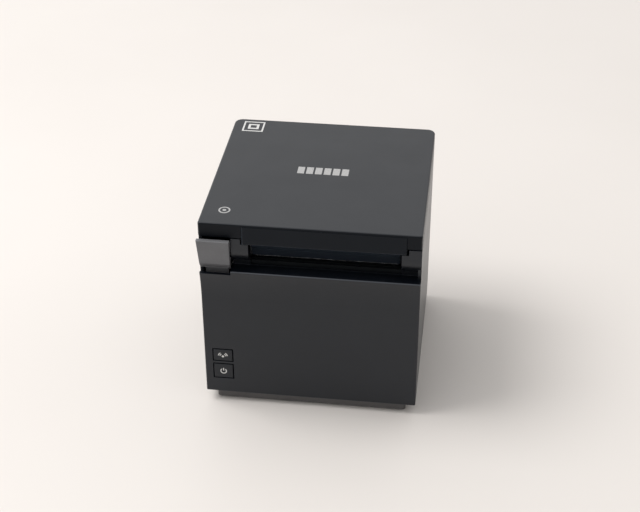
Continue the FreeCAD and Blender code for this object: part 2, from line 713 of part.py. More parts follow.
def feed_motor():
    """Stepper motor on the inside of the right cheek, with a spigot through it."""
    face = FRAME_X1 - FRAME_T
    can = rod_x(12.0, FEED_MOTOR_AT, face - 19.0, face - 1.0)
    flange = rod_x(12.0, FEED_MOTOR_AT, face - 1.0, face)
    for side in (-1, 1):
        ear = rod_x(3.2, (FEED_MOTOR_AT[0] + side * 9.0, FEED_MOTOR_AT[1] - 6.0), face - 1.0, face)
        flange = flange.fuse(ear)
    spigot = rod_x(3.9, FEED_MOTOR_AT, face, FRAME_X1 - 0.2)
    plug = box(face - 15, face - 5, FEED_MOTOR_AT[0] - 4, FEED_MOTOR_AT[0] + 4, 45.6, FEED_MOTOR_AT[1] - 8)
    motor = can.fuse(flange).fuse(spigot).fuse(plug)
    return motor.cut(rod_x(1.0 + RUN, FEED_MOTOR_AT, face - 12, FRAME_X1 + 1))


def feed_pinion():
    return gear(PINION_TEETH, FEED_MOTOR_AT, 55.2, 57.4, PINION_PHASE, 1.0)


def feed_motor_shaft():
    return rod_x(1.0, FEED_MOTOR_AT, FRAME_X1 - FRAME_T - 11.9, 57.6)


# ---------------------------------------------------------------- frame and thermal head
def bearing_notch(x0, x1):
    """U-shaped seat for a platen bearing, open at the top and wider towards the front."""
    y, z = PLATEN_AT
    reach = BEARING_R + RUN
    seat = rod_x(reach, PLATEN_AT, x0, x1)
    mouth = [
        (y - reach, z),
        (y + reach, z),
        (y + reach + 0.3, FRAME_Z1 + 1),
        (y - reach - 0.7, FRAME_Z1 + 1),
    ]
    return seat.fuse(polygon_x(mouth, x0, x1))


def mech_frame():
    """Folded sheet-metal frame: two cheeks, a floor and a shelf under the thermal head."""
    cheek = [
        (FRAME_Y0, FRAME_Z0),
        (FRAME_Y0, 99.0),
        (-51.5, 103.5),
        (-51.5, 105.0),
        (-48.6, FRAME_Z1),
        (-36.0, FRAME_Z1),
        (FRAME_Y1, 101.0),
        (FRAME_Y1, FRAME_Z0),
    ]
    left = (FRAME_X0, FRAME_X0 + FRAME_T)
    right = (FRAME_X1 - FRAME_T, FRAME_X1)
    frame = polygon_x(cheek, *left).fuse(polygon_x(cheek, *right))
    frame = frame.fuse(box(FRAME_X0, FRAME_X1, FRAME_Y0, FRAME_Y1, FRAME_Z0, FRAME_Z0 + FRAME_T))
    frame = frame.fuse(box(FRAME_X0, FRAME_X1, -43.0, -30.0, SHELF_Z, SHELF_Z + FRAME_T))
    frame = frame.cut(bearing_notch(FRAME_X0 - 1, FRAME_X1 + 1))
    through = (FRAME_X0 - 1, FRAME_X1 + 1)
    frame = frame.cut(rod_x(LOCK_R + RUN, LOCK_AT, *through))
    frame = frame.cut(rod_x(HEAD_PIN_R, HEAD_PIN_AT, *through))
    frame = frame.cut(rod_x(CUTTER_SHAFT_R + RUN, CUTTER_AT, *through))
    for at, hole_r in ((IDLER_AT, STUD_R), (REDUCTION_AT, STUD_R), (FEED_MOTOR_AT, 4.0)):
        frame = frame.cut(rod_x(hole_r, at, FRAME_X1 - 5, FRAME_X1 + 1))
    frame = frame.cut(rod_x(3.0, CUTTER_MOTOR_AT, FRAME_X0 - 1, FRAME_X0 + 5))
    for x, y in frame_post_places():
        frame = frame.cut(rod_z(1.7, x, y, FRAME_Z0 - 1, FRAME_Z0 + 2))
    return frame


def frame_screws():
    return [screw(x, y, FRAME_Z0 + FRAME_T, -1, 8.0, thread_r=1.5) for x, y in frame_post_places()]


def thermal_head():
    """Ceramic strip with its raised heating line and driver chips."""
    x0, x1 = PATH_X - 40.0, PATH_X + 40.0
    strip = box(x0, x1, -46.0, -35.0, HEAD_Z - 1.0, HEAD_Z - 0.05)
    return strip.fuse(box(x0, x1, PLATEN_AT[0] - 0.6, PLATEN_AT[0] + 0.6, HEAD_Z - 0.5, HEAD_Z))


def head_plate():
    """Aluminium heat sink under the ceramic, with pivot lugs at its rear edge."""
    x0, x1 = PATH_X - 41.0, PATH_X + 41.0
    top = HEAD_Z - 1.0
    plate = box(x0, x1, -46.0, -33.0, top - 3.0, top)
    for lug_x0 in (x0, x1 - 6.0):
        lug = rod_x(2.0, HEAD_PIN_AT, lug_x0, lug_x0 + 6)
        lug = lug.fuse(box(lug_x0, lug_x0 + 6, -34, HEAD_PIN_AT[0], HEAD_PIN_AT[1] - 1.5, top))
        plate = plate.fuse(lug)
    plate = plate.cut(rod_x(HEAD_PIN_R + RUN, HEAD_PIN_AT, x0 - 1, x1 + 1))
    for n in range(9):
        groove_x = x0 + 8 + n * 8.0
        plate = plate.cut(box(groove_x, groove_x + 3, -45, -41.5, top - 4, top - 2.0))
    return plate.removeSplitter()


def head_pin():
    return rod_x(HEAD_PIN_R, HEAD_PIN_AT, FRAME_X0 - 0.4, FRAME_X1 + 0.4)


def head_springs():
    """Two compression springs between the shelf and the heat sink."""
    low = SHELF_Z + FRAME_T
    high = HEAD_Z - 4.0
    wire_r = 0.35
    turns = 6
    pitch = (high - low - 2 * wire_r - 0.1) / turns
    springs = []
    for x in HEAD_SPRING_X:
        spring = coil(2.4, wire_r, pitch, turns)
        spring.translate(Vector(x, -38.5, low + wire_r + 0.05))
        springs.append(spring)
    return springs


def head_cable():
    """Flat cable from the head's rear edge down to the board."""
    points = [
        (-33.2, 94.0),
        (-33.2, 94.3),
        (-29.0, 94.3),
        (-27.0, 92.0),
        (-27.0, BOARD_Z + BOARD_T + 2.0),
        (-27.3, BOARD_Z + BOARD_T + 2.0),
        (-27.3, 91.9),
        (-29.2, 94.0),
    ]
    return polygon_x(points, PATH_X - 12.0, PATH_X + 12.0)


def paper_sensor():
    body = box(PATH_X + 20, PATH_X + 27, -29.4, -26.3, 93.5, 98.6)
    return body.cut(box(PATH_X + 22, PATH_X + 25, -28.8, -27.0, 97.6, 99.0))


# ---------------------------------------------------------------- cutter
CUTTER_PHASE = math.radians(90)
CUTTER_PINION_PHASE = meshed_phase(
    CUTTER_GEAR_TEETH, CUTTER_PHASE, CUTTER_AT, PINION_TEETH, CUTTER_MOTOR_AT
)


def movable_blade():
    """Steel blade with a shallow V edge, which rises past the fixed blade."""
    x0, x1 = PATH_X - 41.0, PATH_X + 41.0
    plate = Part.makePolygon(
        [
            Vector(x0, BLADE_Y0, 71.0),
            Vector(x0, BLADE_Y0, 98.2),
            Vector(PATH_X, BLADE_Y0, 96.2),
            Vector(x1, BLADE_Y0, 98.2),
            Vector(x1, BLADE_Y0, 71.0),
            Vector(x0, BLADE_Y0, 71.0),
        ]
    )
    blade = Part.Face(plate).extrude(Vector(0, BLADE_Y1 - BLADE_Y0, 0))
    for side in (-1, 1):
        middle_x = PATH_X + side * 28
        blade = blade.cut(box(middle_x - 7, middle_x + 7, BLADE_Y0 - 1, BLADE_Y1 + 1, 76.0, 90.0))
    return blade


def blade_racks():
    """Two toothed bars behind the blade. Each has a gap level with its pinion's axis."""
    pitch = math.pi * MODULE
    pitch_y = CUTTER_AT[0] - MODULE * RACK_PINION_TEETH / 2
    half = (pitch / 2 - BACKLASH) / 2
    slope = math.tan(PRESSURE)
    root_y = pitch_y - DEDENDUM
    tip_y = pitch_y + ADDENDUM
    points = [(BLADE_Y1, 70.5), (root_y, 70.5)]
    for n in range(-4, 6):
        middle = CUTTER_AT[1] + (n - 0.5) * pitch
        points.append((root_y, middle - half - DEDENDUM * slope))
        points.append((tip_y, middle - half + ADDENDUM * slope))
        points.append((tip_y, middle + half - ADDENDUM * slope))
        points.append((root_y, middle + half + DEDENDUM * slope))
    points += [(root_y, 86.5), (BLADE_Y1, 86.5)]
    return [polygon_x(points, x - 1.5, x + 1.5) for x in RACK_X]


def cutter_shaft():
    return rod_x(CUTTER_SHAFT_R, CUTTER_AT, -41.0, FRAME_X1 + 0.3)


def cutter_pinions():
    return [gear(RACK_PINION_TEETH, CUTTER_AT, x - 2.0, x + 2.0, math.pi, CUTTER_SHAFT_R) for x in RACK_X]


def cutter_gear():
    wheel = gear(CUTTER_GEAR_TEETH, CUTTER_AT, -40.8, -38.4, CUTTER_PHASE, CUTTER_SHAFT_R)
    for n in range(5):
        hole = on_circle(CUTTER_AT, 5.0, 2 * math.pi * n / 5)
        wheel = wheel.cut(rod_x(1.3, hole, -42, -37))
    return wheel


def cutter_motor():
    """Small motor on the inside of the left cheek."""
    face = FRAME_X0 + FRAME_T
    can = rod_x(8.0, CUTTER_MOTOR_AT, face, face + 22.0)
    cap = rod_x(6.5, CUTTER_MOTOR_AT, face + 22.0, face + 24.0)
    spigot = rod_x(2.9, CUTTER_MOTOR_AT, FRAME_X0, face)
    motor = can.fuse(cap).fuse(spigot)
    return motor.cut(rod_x(0.75 + RUN, CUTTER_MOTOR_AT, FRAME_X0 - 1, face + 12))


def cutter_motor_pinion():
    return gear(PINION_TEETH, CUTTER_MOTOR_AT, -40.8, -38.2, CUTTER_PINION_PHASE, 0.75)


def cutter_motor_shaft():
    return rod_x(0.75, CUTTER_MOTOR_AT, -41.0, FRAME_X0 + FRAME_T + 11.9)


def cutter_guide():
    """Front plate of the cutter, with side rails that the blade runs in."""
    x0, x1 = FRAME_X0 + FRAME_T + 0.1, FRAME_X1 - FRAME_T - 0.1
    plate = box(x0, x1, -55.7, -54.7, 69.0, 99.2)
    blade_x0, blade_x1 = PATH_X - 41.3, PATH_X + 41.3
    for rail_x0, rail_x1 in ((x0, blade_x0), (blade_x1, x1)):
        plate = plate.fuse(box(rail_x0, rail_x1, -54.7, -53.0, 69.0, 99.2))
    plate = plate.fuse(box(blade_x0 - 1, blade_x0 + 2.5, -53.5, -52.6, 69.0, 99.0))
    plate = plate.fuse(box(blade_x1 - 2.5, blade_x1 + 1, -53.5, -52.6, 69.0, 99.0))
    plate = plate.fuse(box(PATH_X - 42.5, PATH_X + 42.5, -53.2, -46.6, 98.2, 99.2))
    return plate.removeSplitter()


# ---------------------------------------------------------------- cover lever and lock
def lock_shaft():
    """Steel bar through both cheeks, flattened where the lever grips it."""
    shaft = rod_x(LOCK_R, LOCK_AT, -60.0, 55.0)
    flat_z = LOCK_AT[1] + 1.9
    return shaft.cut(box(-61, -46.5, LOCK_AT[0] - 3, LOCK_AT[0] + 3, flat_z, LOCK_AT[1] + 3))


def lock_hook(x0, x1):
    """Hook that stands in front of a platen bearing, with its nose over it."""
    y, z = LOCK_AT
    bearing_front = PLATEN_AT[0] - BEARING_R
    nose_z = PLATEN_AT[1] + BEARING_R + 0.25
    points = [
        (y - 3.4, z),
        (y - 3.4, nose_z + 1.6),
        (y - 2.2, nose_z + 2.8),
        (bearing_front + 1.4, nose_z + 2.8),
        (bearing_front + 3.2, nose_z + 0.9),
        (bearing_front + 3.2, nose_z),
        (bearing_front - 0.5, nose_z),
        (bearing_front - 0.5, PLATEN_AT[1] - 5),
        (y + 1.5, z + 6.5),
        (y + 3.4, z),
    ]
    hook = polygon_x(points, x0, x1).fuse(rod_x(4.2, LOCK_AT, x0, x1))
    return hook.cut(rod_x(LOCK_R, LOCK_AT, x0 - 1, x1 + 1))


def lock_hooks():
    left = lock_hook(-35.9, -34.7)
    return [left, lock_hook(about_path(-34.7), about_path(-35.9))]


def lever_cap():
    """Leaning cap with a deep top edge and side flanges, a little wider at the top."""
    crest = (LEVER_CREST_Y, LEVER_CREST_Z)
    lean = (LEVER_TOP_Y - LEVER_CREST_Y) / (LEVER_TOP_Z - LEVER_CREST_Z)
    top_back = LEVER_TOP_Y + LEVER_TOP_DEPTH
    cap_back = Y_FRONT + WALL - 0.1
    inner_foot = (crest[0] + LEVER_SKIN + lean * 5.0, crest[1] + 5.0)
    points = [
        (LEVER_TOP_Y, LEVER_TOP_Z),
        (top_back, LEVER_TOP_Z),
        (top_back, LEVER_TOP_Z - 2.0),
        (LEVER_TOP_Y + LEVER_SKIN, LEVER_TOP_Z - 2.6),
        inner_foot,
        (cap_back, crest[1] + 3.8),
        (cap_back, crest[1] - 4.2),
        (Y_FRONT + 1.2, crest[1] - 2.5),
        (crest[0] + 0.9, crest[1] - 1.9),
        crest,
    ]
    x0, x1 = LEVER_X0 - LEVER_FLARE, LEVER_X1 + LEVER_FLARE
    cap = polygon_x(points, x0, x1)
    flange = [
        (LEVER_TOP_Y + 1.0, LEVER_TOP_Z - 1.0),
        (top_back, LEVER_TOP_Z - 1.0),
        (Y_FRONT - 0.25, LEVER_TOP_Z - 2.2),
        (Y_FRONT - 0.25, crest[1] + 3.0),
        (crest[0] + 1.0, crest[1] + 3.0),
    ]
    for flange_x0, flange_x1 in ((x0, x0 + 2.2), (x1 - 2.2, x1)):
        cap = cap.fuse(polygon_x(flange, flange_x0, flange_x1))
    for side in (-1, 1):
        middle = (LEVER_X0 + LEVER_X1) / 2
        foot = middle + side * (LEVER_X1 - LEVER_X0) / 2
        wedge = [
            (foot, crest[1] - 6),
            (foot, crest[1]),
            (foot + side * LEVER_FLARE, LEVER_TOP_Z),
            (foot + side * 3, LEVER_TOP_Z),
            (foot + side * 3, crest[1] - 6),
        ]
        cap = cap.cut(polygon_y(wedge, -75, -55))
    cap = cap.removeSplitter()
    cap = soften(cap, [e for e in cap.Edges if on_lever_crest(e)], LEVER_CREST_R)
    return soften(cap, [e for e in cap.Edges if on_lever_rim(e)], 0.45)


def on_lever_crest(edge):
    """Whether an edge is the one along X where the face turns under."""
    reach = edge.BoundBox
    return reach.XLength > 10 and abs(reach.YMin - LEVER_CREST_Y) < 0.02 and abs(reach.ZMin - LEVER_CREST_Z) < 0.02


def on_lever_rim(edge):
    """Whether an edge bounds the front of the leaning face, at its top or sides."""
    reach = edge.BoundBox
    along_top = reach.XLength > 10 and abs(reach.YMin - LEVER_TOP_Y) < 0.02 and reach.ZMin > LEVER_TOP_Z - 0.1
    up_side = reach.ZLength > 10 and reach.XLength < 1.0 and reach.YMin < LEVER_TOP_Y + 0.02 and reach.YLength > 3
    return along_top or up_side


def cover_lever():
    """Cap on a hollow arm that grips the lock shaft."""
    arm_x0, arm_x1 = -60.6, -47.2
    arm_front = Y_FRONT + WALL - 0.4
    arm_points = [
        (arm_front, LEVER_CREST_Z + 2.6),
        (LOCK_AT[0] - 1.0, LOCK_AT[1] + LEVER_HUB_R),
        (LOCK_AT[0], LOCK_AT[1]),
        (LOCK_AT[0] - 3.0, LOCK_AT[1] - LEVER_HUB_R + 1.0),
        (-60.0, 91.0),
        (-60.3, 95.0),
        (arm_front, LEVER_CREST_Z - 4.0),
    ]
    arm = polygon_x(arm_points, arm_x0, arm_x1)
    hollow = [
        (-60.4, LEVER_CREST_Z - 1.8),
        (LOCK_AT[0] - 6.0, LOCK_AT[1] + 4.4),
        (LOCK_AT[0] - 6.0, LOCK_AT[1] - 1.0),
        (-58.6, 92.8),
    ]
    arm = arm.cut(polygon_x(hollow, arm_x0 + 1.6, arm_x1 - 1.6))
    hub = rod_x(LEVER_HUB_R, LOCK_AT, arm_x0, arm_x1)
    bore = lever_bore(arm_x0 - 1, arm_x1 + 1)
    return lever_cap().fuse(arm).fuse(hub).cut(bore).removeSplitter()


def lever_bore(x0, x1):
    """Hole with the same flat as the shaft's end."""
    flat_z = LOCK_AT[1] + 1.9
    return rod_x(LOCK_R, LOCK_AT, x0, x1).cut(
        box(x0 - 1, x1 + 1, LOCK_AT[0] - 3, LOCK_AT[0] + 3, flat_z, LOCK_AT[1] + 3)
    )


def lever_spring():
    """Torsion spring round the lock shaft, between the lever's hub and the left cheek."""
    wire_r = 0.3
    radius = LOCK_R + 0.3 + wire_r
    turns = 5
    pitch = 0.8
    spring = coil(radius, wire_r, pitch, turns)
    spring.rotate(Vector(0, 0, 0), Vector(0, 1, 0), 90)
    spring.translate(Vector(-46.0, LOCK_AT[0], LOCK_AT[1]))
    return spring


# ---------------------------------------------------------------- buttons
def button_cap(z0, z1):
    """Cap with a rear flange that keeps it behind the panel, and a stem."""
    front = Y_FRONT - BUTTON_STAND
    rear = Y_FRONT + WALL + 0.2
    cap = box(BUTTON_X0, BUTTON_X1, front, rear, z0, z1)
    rim = [e for e in cap.Edges if e.BoundBox.YMax < front + 0.01]
    cap = cap.makeFillet(0.35, rim)
    flange = box(BUTTON_X0 - 1.2, BUTTON_X1 + 1.2, rear, rear + 0.8, z0 - 0.2, z1 + 0.2)
    middle_x = (BUTTON_X0 + BUTTON_X1) / 2
    stem = rod_y(1.8, middle_x, (z0 + z1) / 2, rear, SWITCH_FRONT_Y - 1.0)
    return cap.fuse(flange).fuse(stem)


def switch_plunger(z0, z1):
    middle_x = (BUTTON_X0 + BUTTON_X1) / 2
    return rod_y(1.25, middle_x, (z0 + z1) / 2, SWITCH_FRONT_Y - 1.0, SWITCH_FRONT_Y + 1.6)


def switch_bodies():
    bodies = []
    middle_x = (BUTTON_X0 + BUTTON_X1) / 2
    for z0, z1 in (FEED_Z, POWER_Z):
        middle_z = (z0 + z1) / 2
        body = box(
            middle_x - 3,
            middle_x + 3,
            SWITCH_FRONT_Y,
            BUTTON_BOARD_Y,
            middle_z - 3,
            middle_z + 3,
        )
        bodies.append(body.cut(rod_y(1.3, middle_x, middle_z, SWITCH_FRONT_Y - 1, SWITCH_FRONT_Y + 2.5)))
    return bodies


def button_board():
    board = box(-60.5, -43.0, BUTTON_BOARD_Y, BUTTON_BOARD_Y + 1.2, 12.0, 42.0)
    connector = box(-48.0, -44.0, BUTTON_BOARD_Y + 1.2, BUTTON_BOARD_Y + 4.0, 18.0, 28.0)
    return board.fuse(connector)


# ---------------------------------------------------------------- board and sockets
def main_board():
    board = box(-54.0, 54.0, -19.0, 57.0, BOARD_Z, BOARD_Z + BOARD_T)
    for x, y in board_post_places():
        board = board.cut(rod_z(1.6, x, y, BOARD_Z - 1, BOARD_Z + 3))
    return board


def board_screws():
    top = BOARD_Z + BOARD_T
    return [
        screw(x, y, top, -1, 5.0, thread_r=1.25, head_r=2.4, head_h=1.4)
        for x, y in board_post_places()
    ]


def board_parts():
    """Chips and capacitors on the board, under the paper trough."""
    top = BOARD_Z + BOARD_T
    parts = [
        box(-6, 8, 8, 22, top, top + 1.4),
        box(16, 26, 10, 17, top, top + 1.1),
        box(-30, -20, 2, 12, top, top + 4.2),
        box(-16, -8, -12, -4, top, top + 3.0),
        box(-4, 20, -18, -14, top, top + 3.4),
    ]
    for x in (-40.0, 40.0):
        parts.append(rod_z(5.0, x, 14, top, top + 9.0))
    return parts


def socket_body(middle_x, width, depth, height):
    top = BOARD_Z + BOARD_T
    return box(
        middle_x - width / 2,
        middle_x + width / 2,
        SOCKET_FRONT_Y - depth,
        SOCKET_FRONT_Y,
        top,
        top + height,
    )


def power_socket():
    """Round socket with a keyed shell and three contact pins."""
    body = socket_body(POWER_SOCKET_X, 15.0, 14.0, 12.5)
    z = BOARD_Z + BOARD_T + 6.3
    body = body.cut(rod_y(5.0, POWER_SOCKET_X, z, SOCKET_FRONT_Y - 9, SOCKET_FRONT_Y + 1))
    for angle in (90, 210, 330):
        px = POWER_SOCKET_X + 2.4 * math.cos(math.radians(angle))
        pz = z + 2.4 * math.sin(math.radians(angle))
        body = body.fuse(rod_y(0.55, px, pz, SOCKET_FRONT_Y - 9.5, SOCKET_FRONT_Y - 3))
    return body


def modular_socket(middle_x, width, height, opening, tab):
    """Telephone-style socket: a rectangular mouth with a latch slot above it."""
    body = socket_body(middle_x, width, 15.5, height)
    low = BOARD_Z + BOARD_T + 2.2
    mouth_h = 7.0
    mouth = box(middle_x - opening / 2, middle_x + opening / 2, SOCKET_FRONT_Y - 12, 63, low, low + mouth_h)
    latch = box(middle_x - tab / 2, middle_x + tab / 2, SOCKET_FRONT_Y - 12, 63, low + mouth_h - 1, low + 9.4)
    return body.cut(mouth).cut(latch)


def usb_socket():
    """Square device socket with chamfered upper corners and a contact tongue."""
    body = socket_body(USB_SOCKET_X, 12.0, 15.0, 11.0)
    low = BOARD_Z + BOARD_T + 1.3
    mouth = box(USB_SOCKET_X - 4.2, USB_SOCKET_X + 4.2, SOCKET_FRONT_Y - 11, 63, low, low + 7.8)
    upper = [
        e
        for e in mouth.Edges
        if abs(e.Vertexes[0].Y - e.Vertexes[-1].Y) > 1 and e.Vertexes[0].Z > low + 5
    ]
    body = body.cut(mouth.makeChamfer(1.6, upper))
    tongue = box(USB_SOCKET_X - 2.8, USB_SOCKET_X + 2.8, 49.5, SOCKET_FRONT_Y - 2, low + 2.3, low + 5.4)
    return body.fuse(tongue)


def socket_plate():
    """Plate behind the rear opening, cut to the sockets' outlines."""
    plate = box(-54.5, 54.5, 59.8, Y_REAR_IN - FIT, 10.5, 33.0)
    top = BOARD_Z + BOARD_T
    for middle_x, width, height in (
        (POWER_SOCKET_X, 15.0, 12.5),
        (DRAWER_SOCKET_X, 14.0, 13.0),
        (LAN_SOCKET_X, 16.5, 13.5),
        (USB_SOCKET_X, 12.0, 11.0),
    ):
        half = width / 2 + 0.2
        plate = plate.cut(box(middle_x - half, middle_x + half, 59, 63, top - 0.1, top + height + 0.2))
    return plate


def rating_plate():
    """Blank label set flush in the rear wall."""
    x0, x1, z0, z1 = LABEL
    return box(x0, x1, Y_REAR - LABEL_DEPTH, Y_REAR, z0, z1)


def liner_screws():
    return [screw(x, y, 112.2, 1, 11.0, thread_r=1.5, head_r=2.6) for x, y in liner_screw_places()]


# ---------------------------------------------------------------- write every piece
def build():
    os.makedirs("parts", exist_ok=True)
    save("main_case", main_case())
    save("front_panel", front_panel())
    save("base_plate", base_plate())
    save("rubber_feet", *rubber_feet())
    save("roll_bucket", roll_bucket())
    save("socket_plate", socket_plate())
    save("rating_plate", rating_plate())
    save("hinge_pins", *hinge_pins())

    save("lid_shell", lid_shell())
    save("lid_lip", lid_lip())
    save("lid_liner", lid_liner())
    save("liner_screws", *liner_screws())
    save("platen_holder", platen_holder())
    save("platen_bearings", *platen_bearings())
    save("fixed_blade", fixed_blade())

    save("platen_roller", platen_roller())
    save("platen_shaft", platen_shaft())
    save("platen_gear", platen_gear())

    save("mech_frame", mech_frame())
    save("frame_screws", *frame_screws())
    save("gear_studs", *gear_studs())
    save("idler_gear", idler_gear())
    save("reduction_gear", reduction_gear())
    save("feed_motor", feed_motor())
    save("feed_pinion", feed_pinion())
    save("feed_motor_shaft", feed_motor_shaft())

    save("thermal_head", thermal_head())
    save("head_plate", head_plate())
    save("head_pin", head_pin())
    save("head_springs", *head_springs())
    save("head_cable", head_cable())
    save("paper_sensor", paper_sensor())

    save("movable_blade", movable_blade())
    save("blade_racks", *blade_racks())
    save("cutter_shaft", cutter_shaft())
    save("cutter_pinions", *cutter_pinions())
    save("cutter_gear", cutter_gear())
    save("cutter_motor", cutter_motor())
    save("cutter_motor_shaft", cutter_motor_shaft())
    save("cutter_motor_pinion", cutter_motor_pinion())
    save("cutter_guide", cutter_guide())

    save("cover_lever", cover_lever())
    save("lock_shaft", lock_shaft())
    save("lock_hooks", *lock_hooks())
    save("lever_spring", lever_spring())

    save("feed_button", button_cap(*FEED_Z))
    save("feed_switch_plunger", switch_plunger(*FEED_Z))
    save("power_button", button_cap(*POWER_Z))
    save("power_switch_plunger", switch_plunger(*POWER_Z))
    save("switch_bodies", *switch_bodies())
    save("button_board", button_board())

    save("main_board", main_board())
    save("board_screws", *board_screws())
    save("board_parts", *board_parts())
    save("power_socket", power_socket())
    save("drawer_socket", modular_socket(DRAWER_SOCKET_X, 14.0, 13.0, 9.8, 3.6))
    save("lan_socket", modular_socket(LAN_SOCKET_X, 16.5, 13.5, 11.9, 4.2))
    save("usb_socket", usb_socket())


build()
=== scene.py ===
"""Looks of the compact receipt printer: materials, printed marks, desk, light and camera round the frame."""

import json
import math

import bmesh
import bpy
from mathutils import Matrix, Vector


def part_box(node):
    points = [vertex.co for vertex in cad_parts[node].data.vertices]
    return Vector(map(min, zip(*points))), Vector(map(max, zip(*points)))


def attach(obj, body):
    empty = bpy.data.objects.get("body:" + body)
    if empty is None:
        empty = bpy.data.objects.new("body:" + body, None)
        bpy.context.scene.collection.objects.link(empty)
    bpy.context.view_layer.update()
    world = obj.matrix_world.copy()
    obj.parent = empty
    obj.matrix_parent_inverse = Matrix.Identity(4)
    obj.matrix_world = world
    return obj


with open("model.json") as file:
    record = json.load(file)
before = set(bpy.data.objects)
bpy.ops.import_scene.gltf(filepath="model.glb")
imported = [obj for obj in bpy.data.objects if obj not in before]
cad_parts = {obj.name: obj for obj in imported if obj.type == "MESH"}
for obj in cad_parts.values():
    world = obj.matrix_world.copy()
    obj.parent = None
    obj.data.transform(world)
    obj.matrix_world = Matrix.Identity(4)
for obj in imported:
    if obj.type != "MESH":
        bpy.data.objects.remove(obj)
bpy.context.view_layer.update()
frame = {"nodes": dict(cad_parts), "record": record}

MM = 0.001
PRINT_RISE = 0.02 * MM  # how far printed marks stand off the surface
PRINT_DEPTH = 0.03 * MM  # how thick they are, so that they reach just into the surface

# camera: direction from the object, place, and lens
VIEW_AZIMUTH = math.radians(7.178)
VIEW_ELEVATION = math.radians(33.284)
VIEW_ROLL = math.radians(-0.111)
CAMERA_AT = (0.0862, -0.6992, 0.5306)
SENSOR_MM = 36.0
LENS_MM = 76.6

# sky brightness towards the viewer, away from the viewer, and how much more on the left than in the middle
SKY_FRONT = 0.56
SKY_BACK = 0.96
SKY_SIDE = 0.34

# the large soft source above left of the desk
WINDOW_AT = (-1.15, -0.10, 1.75)
WINDOW_AIM = (0, 0, 0.05)
WINDOW_SIZE = 1.2
WINDOW_WATTS = 25.0

DESK_SIZE = 8.0

# values between which a noise texture mostly stays
NOISE_LOW = 0.3
NOISE_HIGH = 0.7

# sockets of a colour mix node, which share their names with those of its other data types
MIX_FIRST = 6
MIX_SECOND = 7
MIX_RESULT = 2

# moulded plastic reflects a little more blue than red
PLASTIC_SHEEN = (0.93, 0.97, 1.04, 1.0)

# lid marks, in mm: a row of bars in the middle, and two small marks by the left edge
BAR_COUNT = 6
BAR_PITCH = 5.3
BAR_WIDTH = 4.1
BAR_START_X = -15.4
BAR_Y = (-1.6, 6.2)
SQUARE_X = (-57.2, -44.0)
SQUARE_Y = (47.2, 60.0)
SQUARE_LINE = 1.0
SQUARE_GAP = 3.2
SQUARE_CORE_LINE = 1.5
RING_AT = (-50.6, -48.4)
RING_R = 3.0
RING_LINE = 0.9
RING_DOT_R = 1.1

# button icons, in mm from the middle of the button
FEED_DOT_Y = -0.8
FEED_DOT_R = 0.75
FEED_ARCS = (1.8, 2.8)
FEED_LINE = 0.55
POWER_R = 1.7
POWER_LINE = 0.6
POWER_BAR_Y = (0.3, 2.2)

# the lever's leaning face starts at its crest, in mm; the arrow sits part of the way up
LEVER_MIDDLE_X = -55.2
LEVER_CREST_Y = -64.4
LEVER_CREST_Z = 100.2
ARROW_HEIGHT = 0.66


# ---------------------------------------------------------------- node helpers
def add(tree, kind, **values):
    """A shader node with its properties or inputs set by name."""
    node = tree.nodes.new(kind)
    for key, value in values.items():
        label = key.replace("_", " ").title()
        if label in node.inputs:
            node.inputs[label].default_value = value
        else:
            setattr(node, key, value)
    return node


def new_material(name):
    """An empty material with its principled shader and object coordinates."""
    material = bpy.data.materials.new(name)
    material.use_nodes = True
    tree = material.node_tree
    tree.nodes.clear()
    output = add(tree, "ShaderNodeOutputMaterial")
    shader = add(tree, "ShaderNodeBsdfPrincipled")
    tree.links.new(shader.outputs["BSDF"], output.inputs["Surface"])
    coords = add(tree, "ShaderNodeTexCoord")
    return material, tree, shader, coords.outputs["Object"]


def noise(tree, coords, size_mm, detail=2.0, stretch=(1, 1, 1)):
    """Noise with features of about size_mm, longer along an axis whose stretch is below 1."""
    mapping = add(tree, "ShaderNodeMapping")
    mapping.inputs["Scale"].default_value = stretch
    tree.links.new(coords, mapping.inputs["Vector"])
    texture = add(tree, "ShaderNodeTexNoise")
    texture.inputs["Scale"].default_value = 1.0 / (size_mm * MM)
    texture.inputs["Detail"].default_value = detail
    tree.links.new(mapping.outputs["Vector"], texture.inputs["Vector"])
    return texture.outputs["Fac"]


def remap(tree, value, low, high, to_low, to_high):
    """The value taken from low..high to to_low..to_high, clamped."""
    node = add(tree, "ShaderNodeMapRange")
    for key, number in (("From Min", low), ("From Max", high), ("To Min", to_low), ("To Max", to_high)):
        node.inputs[key].default_value = number
    tree.links.new(value, node.inputs["Value"])
    return node.outputs["Result"]


def spread(tree, texture, to_low, to_high):
    """The span that a noise mostly keeps to, taken to to_low..to_high."""
    return remap(tree, texture, NOISE_LOW, NOISE_HIGH, to_low, to_high)


def blend_colours(tree, factor, first, second):
    """A mix of two colours, each a tuple or a socket."""
    node = add(tree, "ShaderNodeMix", data_type="RGBA")
    tree.links.new(factor, node.inputs["Factor"])
    for socket, colour in ((node.inputs[MIX_FIRST], first), (node.inputs[MIX_SECOND], second)):
        if isinstance(colour, tuple):
            socket.default_value = (*colour, 1.0)
        else:
            tree.links.new(colour, socket)
    return node.outputs[MIX_RESULT]


def arithmetic(tree, operation, first, second):
    node = add(tree, "ShaderNodeMath", operation=operation)
    for socket, value in zip(node.inputs, (first, second)):
        if isinstance(value, (int, float)):
            socket.default_value = value
        else:
            tree.links.new(value, socket)
    return node.outputs["Value"]


